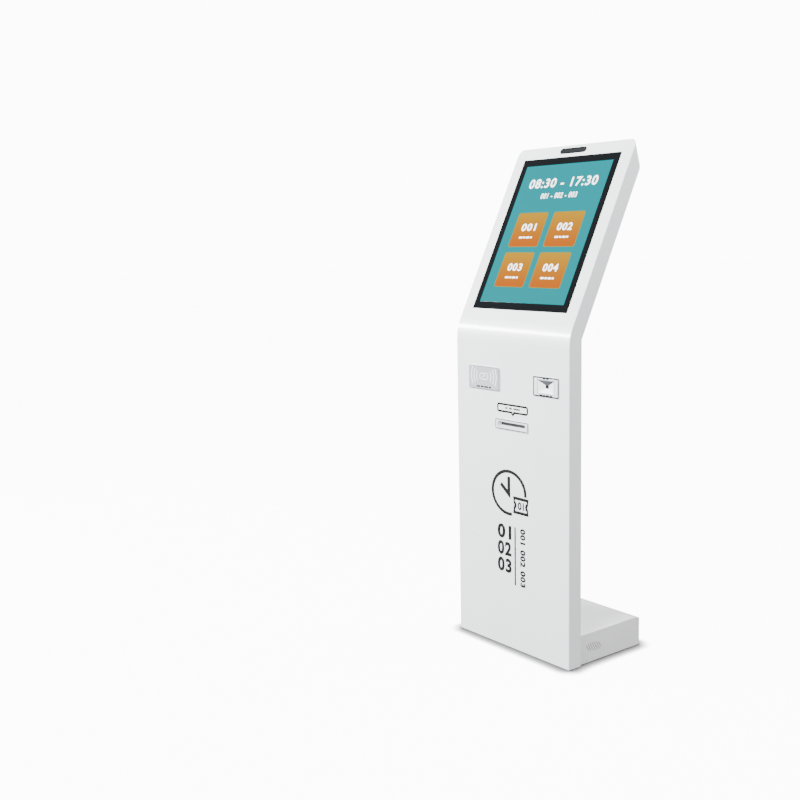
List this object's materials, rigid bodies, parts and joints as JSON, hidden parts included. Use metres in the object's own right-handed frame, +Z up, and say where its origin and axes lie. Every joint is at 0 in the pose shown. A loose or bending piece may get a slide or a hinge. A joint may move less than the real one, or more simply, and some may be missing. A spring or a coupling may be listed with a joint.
{
  "type": "self-service queue ticket kiosk",
  "caption": "Slim floor-standing kiosk with a tilted touch screen, card pad, code scanner and a slot that gives out queue tickets.",
  "frame": {"origin": "on the floor, middle of the box of the part", "axes": "+Z up, the screen and ticket slot face -Y, +X to the right seen from the front"},
  "size_m": [0.41, 0.284, 1.3013],
  "materials": {
    "white_shell": "satin white powder coat",
    "white_cover": "satin white powder coat",
    "base_paint": "satin white powder coat",
    "glass": "gloss",
    "display": "matte",
    "zinc_steel": "zinc plated",
    "bright_steel": "ground",
    "chrome": "polished",
    "grey_plastic": "satin",
    "pale_plastic": "satin",
    "black_plastic": "matte",
    "smoke_lens": "gloss",
    "circuit_board": "lacquered",
    "white_nylon": "matte",
    "black_rubber": "matte",
    "thermal_paper": "smooth",
    "aluminium": "anodised",
    "plate_steel": "black powder coat",
    "brass_pin": "plain"
  },
  "bodies": {
    "cabinet": {"front_shell": "white_shell", "head_back_cover": "white_cover", "column_back_cover": "white_cover", "head_cover_screws": "bright_steel", "column_cover_screws": "bright_steel", "touch_glass": "glass", "display_panel": "display", "display_brackets": "zinc_steel", "column_rails": "zinc_steel", "head_rails": "zinc_steel", "sensor_window": "smoke_lens", "sensor_module": "circuit_board", "card_pad": "pale_plastic", "card_antenna": "circuit_board", "scanner_bezel": "pale_plastic", "scanner_lens": "smoke_lens", "scanner_module": "black_plastic", "ticket_mouth": "pale_plastic", "printer_housing": "white_cover", "lock_keeper": "zinc_steel", "housing_hinge_leaves": "bright_steel", "hinge_pins": "bright_steel", "printer_shelf": "zinc_steel", "printer_chassis": "zinc_steel", "roll_brackets": "zinc_steel", "paper_spindle": "black_plastic", "feed_motor": "zinc_steel", "print_head": "aluminium", "head_pressure_bar": "zinc_steel", "cutter_frame": "black_plastic", "lid_pin": "bright_steel", "base_plate": "plate_steel", "rubber_feet": "black_rubber", "base_cover": "base_paint", "controller_box": "aluminium", "power_supply": "zinc_steel", "fan_frame": "black_plastic", "power_inlet": "black_plastic", "switch_case": "black_plastic"},
    "service_door": {"service_door": "white_cover", "door_hinge_leaves": "bright_steel", "lock_sleeve": "chrome"},
    "door_lock": {"lock_plug": "chrome", "lock_cam": "zinc_steel"},
    "platen": {"platen_roller": "black_rubber", "platen_gear": "white_nylon"},
    "pinion": {"motor_pinion": "brass_pin", "motor_shaft": "bright_steel"},
    "blade": {"cutter_blade": "bright_steel"},
    "printer_lid": {"printer_lid": "grey_plastic"},
    "lever": {"release_lever": "grey_plastic"},
    "roll": {"paper_roll": "thermal_paper"},
    "fan": {"fan_rotor": "black_plastic"},
    "rocker": {"switch_rocker": "black_plastic"}
  },
  "joints": [
    {"name": "service_door_hinge", "type": "hinge", "parent": "cabinet", "child": "service_door", "pos_m": [-0.155, -0.0517, 0.53], "axis": [0, 0, 1], "range_deg": [0, 110]},
    {"name": "door_lock_turn", "type": "hinge", "parent": "service_door", "child": "door_lock", "pos_m": [0.125, -0.0507, 0.53], "axis": [0, -1, 0], "range_deg": [0, 90]},
    {"name": "platen_spin", "type": "hinge", "parent": "cabinet", "child": "platen", "pos_m": [0.005, -0.105, 0.587], "axis": [1, 0, 0], "continuous": true},
    {"name": "pinion_spin", "type": "hinge", "parent": "cabinet", "child": "pinion", "pos_m": [0.0595, -0.084, 0.587], "axis": [1, 0, 0], "continuous": true},
    {"name": "blade_stroke", "type": "slide", "parent": "cabinet", "child": "blade", "axis": [0, 0, -1], "range_m": [0, 0.007]},
    {"name": "printer_lid_hinge", "type": "hinge", "parent": "cabinet", "child": "printer_lid", "pos_m": [0.005, -0.112, 0.6355], "axis": [1, 0, 0], "range_deg": [0, 75]},
    {"name": "lever_pivot", "type": "hinge", "parent": "cabinet", "child": "lever", "pos_m": [-0.045, -0.079, 0.62], "axis": [1, 0, 0], "range_deg": [0, 30], "stiffness_Nm_per_rad": 0.01},
    {"name": "roll_spin", "type": "hinge", "parent": "cabinet", "child": "roll", "pos_m": [0.005, -0.097, 0.49], "axis": [1, 0, 0], "continuous": true},
    {"name": "fan_spin", "type": "hinge", "parent": "cabinet", "child": "fan", "pos_m": [0.1905, -0.042, 0.04], "axis": [1, 0, 0], "continuous": true},
    {"name": "rocker_tilt", "type": "hinge", "parent": "cabinet", "child": "rocker", "pos_m": [-0.056, 0.133, 0.038], "axis": [1, 0, 0], "range_deg": [0, 12]}
  ],
  "couplings": [
    {"joint": "pinion_spin", "follows": "platen_spin", "ratio": -2}
  ]
}
